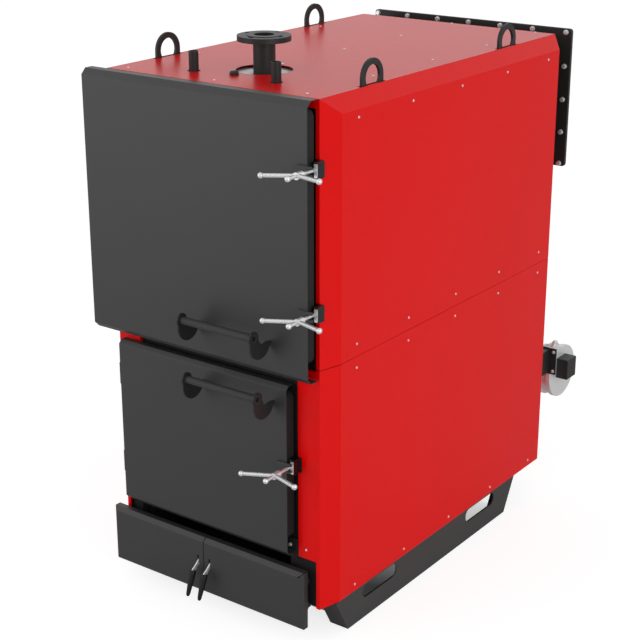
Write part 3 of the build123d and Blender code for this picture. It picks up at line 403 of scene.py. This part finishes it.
# Sill bolt: a hexagon head of 10 mm with its washer, pressed from steel and zinc plated.
# It holds the black sill beside the foot of the lower door.
def hexagon(name, across_mm, low_mm, high_mm):
    """A hexagon head or nut along Z, with its upper edges chamfered."""
    radius = across_mm / math.sqrt(3) / 1000
    height = (high_mm - low_mm) / 1000
    bpy.ops.mesh.primitive_cylinder_add(vertices=6, radius=radius, depth=height,
                                        location=(0, 0, low_mm / 1000 + height / 2))
    shape = bpy.context.object
    shape.name = name
    bpy.ops.object.transform_apply()
    bpy.ops.object.mode_set(mode="EDIT")
    bpy.ops.mesh.select_all(action="DESELECT")
    bpy.ops.object.mode_set(mode="OBJECT")
    for face in shape.data.polygons:
        face.select = face.normal.z > 0.9
    bpy.ops.object.mode_set(mode="EDIT")
    bpy.ops.mesh.select_mode(type="FACE")
    bpy.ops.mesh.inset(thickness=across_mm * 0.09 / 1000)
    bpy.ops.transform.translate(value=(0, 0, across_mm * 0.05 / 1000))
    bpy.ops.object.mode_set(mode="OBJECT")
    return shape


def washer(radius_mm, hole_mm, thick_mm):
    """A flat washer with a rounded upper edge, lying on the ground plane."""
    outline = [(hole_mm, 0), (radius_mm, 0), (radius_mm, thick_mm * 0.75),
               (radius_mm - 0.3, thick_mm), (hole_mm, thick_mm), (hole_mm, 0)]
    return turned("washer", outline, 24)


small_bolt = joined("small_bolt", washer(7.5, 3.0, 1.4), hexagon("small_head", 10, 1.4, 5.6))
sill_bolt = copies(small_bolt, "sill_bolt", [spot(322.7, 0, 356)], TO_FRONT)
fit(sill_bolt, zinc, "boiler")

# Smoke box: a welded duct with a wide flange plate and a hood, in black satin paint.
# Twenty M10 bolts with washers run round the plate, with their nuts on the hood's flange.
dress(black_satin, "smoke_box_flange", "smoke_box_hood", "fan_neck")
plate_bolt = joined("plate_bolt", washer(10.5, 4.0, 2.0), hexagon("plate_head", 17, 2.0, 8.0))
plate_nut = joined("plate_nut", washer(10.5, 4.0, 2.0), hexagon("nut", 17, 2.0, 9.5),
                   turned("thread_end", [(0, 8), (4.9, 8), (4.9, 10.5), (4.4, 11), (4.9, 11.5),
                                         (4.4, 12), (4.9, 12.5), (4.4, 13), (4.9, 13.5),
                                         (4.0, 14.5), (0, 14.5)], 16))
PLATE_FRONT, PLATE_REAR = 1657, 1671
BOLT_COLUMNS = (-449, -300.8, -152.7, -4.5, 143.7, 291.8, 440)
BOLT_ROWS = (1931, 1797, 1664, 1533, 1404)
ring = [(x, z) for x in BOLT_COLUMNS for z in BOLT_ROWS
        if x in (BOLT_COLUMNS[0], BOLT_COLUMNS[-1]) or z in (BOLT_ROWS[0], BOLT_ROWS[-1])]
head_spots = [spot(x, PLATE_FRONT, z) for x, z in ring]
nut_spots = [spot(x, PLATE_REAR, z) for x, z in ring]
fit(copies(plate_bolt, "smoke_plate_bolts", head_spots, TO_FRONT), zinc, "boiler")
fit(copies(plate_nut, "smoke_plate_nuts", nut_spots, TO_REAR), zinc, "boiler")
bpy.data.objects.remove(plate_bolt)
bpy.data.objects.remove(plate_nut)


# Fan: a scroll cast in aluminium and tumbled, light grey and softly metallic. It has a rim
# on each side of a narrower waist, an open intake on its left and a mouth on the black
# neck. The marks of tumbling are drawn at 3 mm, because they are too fine to show.
def arc(middle, radius, start, end, steps):
    """Points on an arc in mm, between two angles in degrees."""
    angles = [math.radians(start + (end - start) * i / steps) for i in range(steps + 1)]
    return [(middle[0] + radius * math.cos(a), middle[1] + radius * math.sin(a))
            for a in angles]


def scroll(name, inset_mm, thick_mm):
    """One layer of the fan's scroll, its outline drawn in by some mm."""
    outline = ([(1641.5, 507 + inset_mm), (1641.5, 600 - inset_mm), (1712, 597 - inset_mm)]
               + arc((1756, 472), 114 - inset_mm, 98, -176, 44))
    return plate(name, outline, thick_mm)


cast_aluminium = coat("tumbled_cast_aluminium", "#e2e4e5", "#dadcdd", roughness=0.40,
                      grain_mm=3.0, relief_mm=0.10, fold_mm=2.0, metal=0.5)
# The turn that stands a plate upright along the boiler's side, its thickness to the right.
UPRIGHT = (math.pi / 2, 0, math.pi / 2)
FAN_LEFT, FAN_DEPTH, FAN_HEIGHT = 396, 1742, 500
layers = [scroll("left_rim", 0, 9), scroll("waist", 13, 36), scroll("right_rim", 0, 20)]
for layer, offset in zip(layers, (0, 8.5, 44)):
    layer.location.z = offset / 1000
bpy.ops.mesh.primitive_cylinder_add(vertices=40, radius=0.050, depth=0.050,
                                    location=(FAN_DEPTH / 1000, FAN_HEIGHT / 1000, 0))
intake = bpy.context.object
for layer in layers[:2]:
    hollow = layer.modifiers.new("intake", "BOOLEAN")
    hollow.operation = "DIFFERENCE"
    hollow.object = intake
for layer in layers:
    rounding = layer.modifiers.new("cast_edges", "BEVEL")
    rounding.width = 0.0015
    rounding.segments = 2
    bpy.context.view_layer.objects.active = layer
    for modifier in [m.name for m in layer.modifiers]:
        bpy.ops.object.modifier_apply(modifier=modifier)
bpy.data.objects.remove(intake)
scroll_shape = joined("scroll", *layers)
bpy.ops.object.select_all(action="DESELECT")
scroll_shape.select_set(True)
bpy.ops.object.transform_apply()
scroll_piece = copies(scroll_shape, "fan_scroll", [spot(FAN_LEFT, 0, 0)], UPRIGHT)
fit(scroll_piece, cast_aluminium, "boiler")
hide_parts("fan_volute")
bpy.data.objects.remove(scroll_shape)

# Bolts of the fan's mouth: four hexagon bolts with washers and nuts, pressed from steel
# and zinc plated, through the flange of the black neck.
flange_ring = [(x, z) for x in (380, 477) for z in (597.5, 511.5)]
flange_bolts = copies(small_bolt, "fan_flange_bolts",
                      [spot(x, 1633, z) for x, z in flange_ring], TO_FRONT)
fit(flange_bolts, zinc, "boiler")
flange_nuts = copies(small_bolt, "fan_flange_nuts",
                     [spot(x, 1641, z) for x, z in flange_ring], TO_REAR)
fit(flange_nuts, zinc, "boiler")
bpy.data.objects.remove(small_bolt)


# Lug of the fan: a small ear cast on the scroll's top, with the zinc plated screw that
# clamps it.
def tapered(name, size_mm, spread, rounding_mm):
    """A block whose upper end is wider or narrower along Y, with rounded edges."""
    bpy.ops.mesh.primitive_cube_add(size=0.001)
    shape = bpy.context.object
    shape.name = name
    bpy.ops.object.mode_set(mode="EDIT")
    bpy.ops.mesh.select_all(action="SELECT")
    bpy.ops.transform.resize(value=size_mm)
    bpy.ops.mesh.select_all(action="DESELECT")
    bpy.ops.object.mode_set(mode="OBJECT")
    for face in shape.data.polygons:
        face.select = face.normal.z > 0.9
    bpy.ops.object.mode_set(mode="EDIT")
    bpy.ops.transform.resize(value=(1.0, spread, 1.0))
    bpy.ops.mesh.select_all(action="SELECT")
    bpy.ops.mesh.bevel(offset=rounding_mm / 1000, segments=2)
    bpy.ops.object.mode_set(mode="OBJECT")
    return shape


lug = tapered("lug", (14.0, 52.0, 26.0), 0.35, 2.0)
clamp_lug = copies(lug, "fan_clamp_lug", [spot(441, 1712, 606)])
fit(clamp_lug, cast_aluminium, "boiler")
bpy.data.objects.remove(lug)
clamp_screw = copies(screw, "fan_clamp_screw", [spot(448, 1712, 608)], TO_RIGHT)
fit(clamp_screw, zinc, "boiler")
bpy.data.objects.remove(screw)

# Intake guard of the fan: four rings and four spokes of 2.4 mm steel wire, welded and
# painted black, over the intake on its left. The impeller's cast hub shows behind them.
WIRE_RADIUS = 0.0012
guard_parts = []
for radius in (0.012, 0.023, 0.034, 0.046):
    bpy.ops.mesh.primitive_torus_add(major_radius=radius, minor_radius=WIRE_RADIUS,
                                     major_segments=48, minor_segments=8)
    guard_parts.append(bpy.context.object)
for turn in (0.0, math.pi / 4, math.pi / 2, 3 * math.pi / 4):
    bpy.ops.mesh.primitive_cylinder_add(vertices=8, radius=WIRE_RADIUS, depth=0.100,
                                        location=(0, 0, -0.002),
                                        rotation=(math.pi / 2, 0, turn))
    guard_parts.append(bpy.context.object)
guard_shape = joined("guard_wires", *guard_parts)
guard = copies(guard_shape, "fan_intake_guard", [spot(397.5, FAN_DEPTH, FAN_HEIGHT)], TO_LEFT)
fit(guard, black_satin, "boiler")
bpy.data.objects.remove(guard_shape)
hub_shape = turned("hub", [(0, 0), (34, 0), (34, 3), (16, 5), (14, 14), (11, 17), (0, 18)], 32)
hub = copies(hub_shape, "fan_impeller_hub", [spot(420.5, FAN_DEPTH, FAN_HEIGHT)], TO_LEFT)
fit(hub, cast_aluminium, "boiler")
bpy.data.objects.remove(hub_shape)

# Motor box of the fan: a cover moulded in black polyamide, a little shiny, fixed to the
# scroll's right side, with a small matt grommet in its outer face. Its grain is drawn at
# 1.5 mm, because the real one is too fine to show.
box_plastic = coat("moulded_black_polyamide", "#1d1d1d", "#181818", roughness=0.45,
                   grain_mm=1.5, relief_mm=0.05, specular=0.35)
dress(box_plastic, "fan_motor_box")
grommet_shape = turned("grommet", [(0, 0.1), (1.8, 0.1), (2.2, 0.7), (3.2, 0.7), (3.8, 0)], 20)
grommet = copies(grommet_shape, "motor_box_grommet", [spot(512, FAN_DEPTH, FAN_HEIGHT)],
                 TO_RIGHT)
fit(grommet, heat_paint, "boiler")
bpy.data.objects.remove(grommet_shape)

# Doors: covers folded from sheet steel over insulated bodies, hung on welded hinges. The
# covers' powder coat is dark grey, even and satin, the hinges are in the black satin paint
# and the bodies in the heat-proof one.
door_coat = coat("dark_grey_powder_coat_doors", "#303030", "#2d2d2d", roughness=0.45,
                 grain_mm=2.5, relief_mm=0.06, specular=0.45, fold_mm=3.0)
dress(door_coat, "upper_door_cover", "lower_door_cover", "ash_leaf_left", "ash_leaf_right")
dress(black_satin, "upper_door_hinges", "lower_door_hinges", "ash_leaf_hinges")
dress(heat_paint, "upper_door_core", "lower_door_core")


# Door handles: a 26.9 mm pipe in the doors' grey, welded through two black hook-shaped
# plates of 6 mm steel, whose rounded lobe goes round the pipe's open end.
handle_coat = coat("dark_grey_powder_coat_handles", "#393939", "#353535", roughness=0.55,
                   grain_mm=2.5, relief_mm=0.06, specular=0.2)
HANDLE_LEFT, HANDLE_RIGHT = -23, 285
PIPE_CENTRE = (-86, 27)
hook_outline = ([(0, -4), (0, -16)] + arc((-53, 0), 53, -20, -190, 28)
                + arc(PIPE_CENTRE, 24, 198, 5, 18) + arc((-36, 22), 27, 180, 300, 12))
hook_shape = plate("hook", hook_outline, 6)
bpy.ops.mesh.primitive_cylinder_add(vertices=32, radius=0.0132, depth=0.05,
                                    location=(PIPE_CENTRE[0] / 1000, PIPE_CENTRE[1] / 1000, 0))
bore = bpy.context.object
opening = hook_shape.modifiers.new("pipe_hole", "BOOLEAN")
opening.operation = "DIFFERENCE"
opening.object = bore
bpy.context.view_layer.objects.active = hook_shape
bpy.ops.object.modifier_apply(modifier=opening.name)
bpy.data.objects.remove(bore)
pipe_shape = turned("pipe", [(10.85, 0), (13.1, 0), (13.45, 0.4), (13.45, 313.6), (13.1, 314),
                             (10.85, 314), (10.85, 0)], 32)
for door, face, middle in (("upper", -58, 1131), ("lower", -43, 912)):
    hook_spots = [spot(x, face, middle) for x in (HANDLE_LEFT, HANDLE_RIGHT)]
    hooks = copies(hook_shape, f"{door}_door_handle_hooks", hook_spots, UPRIGHT)
    fit(hooks, black_satin, f"{door}_door")
    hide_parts(f"{door}_door_handle")
    pipe_place = spot(HANDLE_LEFT, face + PIPE_CENTRE[0], middle + PIPE_CENTRE[1])
    pipe = copies(pipe_shape, f"{door}_door_handle_pipe", [pipe_place], TO_RIGHT)
    fit(pipe, handle_coat, f"{door}_door")
bpy.data.objects.remove(hook_shape)
bpy.data.objects.remove(pipe_shape)


# Sealing ropes and linings of the doors: a flat-pressed braid of ceramic fibre, glued round
# each door's block, and inside it a cast slab of refractory concrete that faces the fire.
def frame_band(name, width, height, corner, band, thick):
    """A flat band round a rectangle with rounded corners, or a plate if band is none."""
    bpy.ops.mesh.primitive_plane_add(size=0.001, rotation=(math.pi / 2, 0, 0))
    shape = bpy.context.object
    shape.name = name
    bpy.ops.object.transform_apply()
    bpy.ops.object.mode_set(mode="EDIT")
    bpy.ops.mesh.select_mode(type="VERT")
    bpy.ops.mesh.select_all(action="SELECT")
    bpy.ops.transform.resize(value=(width, 1.0, height))
    bpy.ops.mesh.bevel(offset=corner / 1000, segments=6, affect="VERTICES")
    bpy.ops.mesh.select_all(action="SELECT")
    if band:
        bpy.ops.mesh.inset(thickness=band / 1000)
        bpy.ops.mesh.delete(type="FACE")
    bpy.ops.mesh.select_all(action="SELECT")
    bpy.ops.mesh.extrude_region_move(TRANSFORM_OT_translate={"value": (0, thick / 1000, 0)})
    bpy.ops.mesh.select_all(action="SELECT")
    bpy.ops.mesh.normals_make_consistent(inside=False)
    bpy.ops.object.mode_set(mode="OBJECT")
    return shape


# Braided ceramic fibre: off-white and matt with a coarse weave.
rope = coat("braided_ceramic_fibre", "#cfcabd", "#b9b3a4", roughness=0.9,
            grain_mm=4.0, relief_mm=1.2, specular=0.2)
# Cast refractory concrete: buff, matt and pitted.
refractory = coat("cast_refractory_concrete", "#a08f78", "#857662", roughness=0.9,
                  grain_mm=9.0, relief_mm=1.5, specular=0.2, fold_mm=4.0)
DOOR_MIDDLE = -36
for door, width, height, middle in (("upper", 760, 710, 1495), ("lower", 600, 450, 655)):
    shape = frame_band("band", width + 27, height + 27, 24, 12, 1.2)
    piece = copies(shape, f"{door}_door_rope", [spot(DOOR_MIDDLE, 12.7, middle)])
    fit(piece, rope, f"{door}_door")
    bpy.data.objects.remove(shape)
    shape = frame_band("slab", width - 70, height - 70, 14, 0, 20)
    bpy.context.view_layer.objects.active = shape
    rounding = shape.modifiers.new("cast_edges", "BEVEL")
    rounding.width = 0.006
    rounding.segments = 2
    bpy.ops.object.modifier_apply(modifier=rounding.name)
    piece = copies(shape, f"{door}_door_refractory", [spot(DOOR_MIDDLE, 13.0, middle)])
    fit(piece, refractory, f"{door}_door")
    bpy.data.objects.remove(shape)

# Hinge pins: turned steel with domed heads, dropped through the upper eyes and held in the
# lower ones, in the hinges' black paint.
pin_head = turned("pin_head", [(0, 0), (9, 0), (9, 2.5), (8, 3.6), (5, 4.4), (0, 4.6)], 20)
pin_spots = ([spot(-493.5, -30, z) for z in (1260, 1800)]
             + [spot(-424.5, -20, z) for z in (520, 870)])
fit(copies(pin_head, "door_hinge_pin_heads", pin_spots), black_satin, "boiler")
bpy.data.objects.remove(pin_head)
small_head = turned("small_pin_head", [(0, 0), (4.6, 0), (4.6, 1.4), (3.6, 2.2), (0, 2.4)], 16)
small_spots = [spot(x, -10, z) for x in (-472.5, 400.5) for z in (162, 256)]
fit(copies(small_head, "ash_hinge_pin_heads", small_spots), black_satin, "boiler")
bpy.data.objects.remove(small_head)

# Latch brackets: hoods pressed from sheet steel and welded on, in a gloss black paint that
# catches light at its edges. Each has a flat zinc plated keeper on its front.
black_gloss = coat("gloss_black_paint", "#101010", "#0b0b0b", roughness=0.28,
                   grain_mm=4.0, relief_mm=0.02, specular=0.4, fold_mm=2.5)
dress(black_gloss, "latch_brackets")
keeper_shape = plate("keeper", [(-6, -20), (-4, -22), (4, -22), (6, -20), (6, 20), (4, 22),
                                (-4, 22), (-6, 20)], 3)
keeper_spots = [spot(463.5, -38, z) for z in (1722, 1244)] + [spot(362.5, -38, 675)]
keepers = copies(keeper_shape, "latch_bracket_keepers", keeper_spots, TO_FRONT)
fit(keepers, zinc, "boiler")
bpy.data.objects.remove(keeper_shape)

# Latches and ash levers: turned steel bolts, two-armed nuts and bent levers, zinc plated
# bright like the screws. The bolts lie in the forks of the doors.
dress(zinc, "upper_latch_top_bolt", "upper_latch_top_nut", "upper_latch_bottom_bolt",
      "upper_latch_bottom_nut", "lower_latch_bolt", "lower_latch_nut",
      "ash_lever_left", "ash_lever_right")

# Lever blades: flat steel forgings, zinc plated, which turn on the pins behind the slots
# of the ash leaves and widen towards the grips.
LEVERS = ((-63, "left"), (-9, "right"))
lever_bend = spot(0, -81, 155)
lever_pin = spot(0, -34, 196)
grip_end = spot(0, -110, 78)
blade_line = lever_bend - lever_pin
blade_shape = tapered("lever_blade", (4.8, 9.6, 38.0), 2.2, 0.8)
for x, hand in LEVERS:
    piece = copies(blade_shape, f"ash_lever_blade_{hand}",
                   [spot(x, -34, 196) + blade_line * 0.70],
                   blade_line.to_track_quat("Z", "Y").to_euler())
    fit(piece, zinc, f"{hand}_ash_lever")
bpy.data.objects.remove(blade_shape)

# Lever grips: moulded black phenolic, smooth and slightly shiny, pushed over the tapered
# ends of the ash levers. Its flow marks are drawn at 3 mm, because they are too fine to show.
phenolic = coat("moulded_black_phenolic", "#121212", "#0d0d0d", roughness=0.38,
                grain_mm=3.0, relief_mm=0.03, specular=0.25)
grip_shape = turned("grip", [(8.0, -7), (10.5, -7), (11.8, -5.5), (12.2, -2), (12.0, 14),
                             (10.6, 40), (8.6, 66), (7.6, 80), (6.6, 86), (4.4, 90),
                             (0, 91.5)], 28)
grip_line = grip_end - lever_bend
for x, hand in LEVERS:
    piece = copies(grip_shape, f"ash_lever_grip_{hand}", [spot(x, -81, 155)],
                   grip_line.to_track_quat("Z", "Y").to_euler())
    fit(piece, phenolic, f"{hand}_ash_lever")
bpy.data.objects.remove(grip_shape)
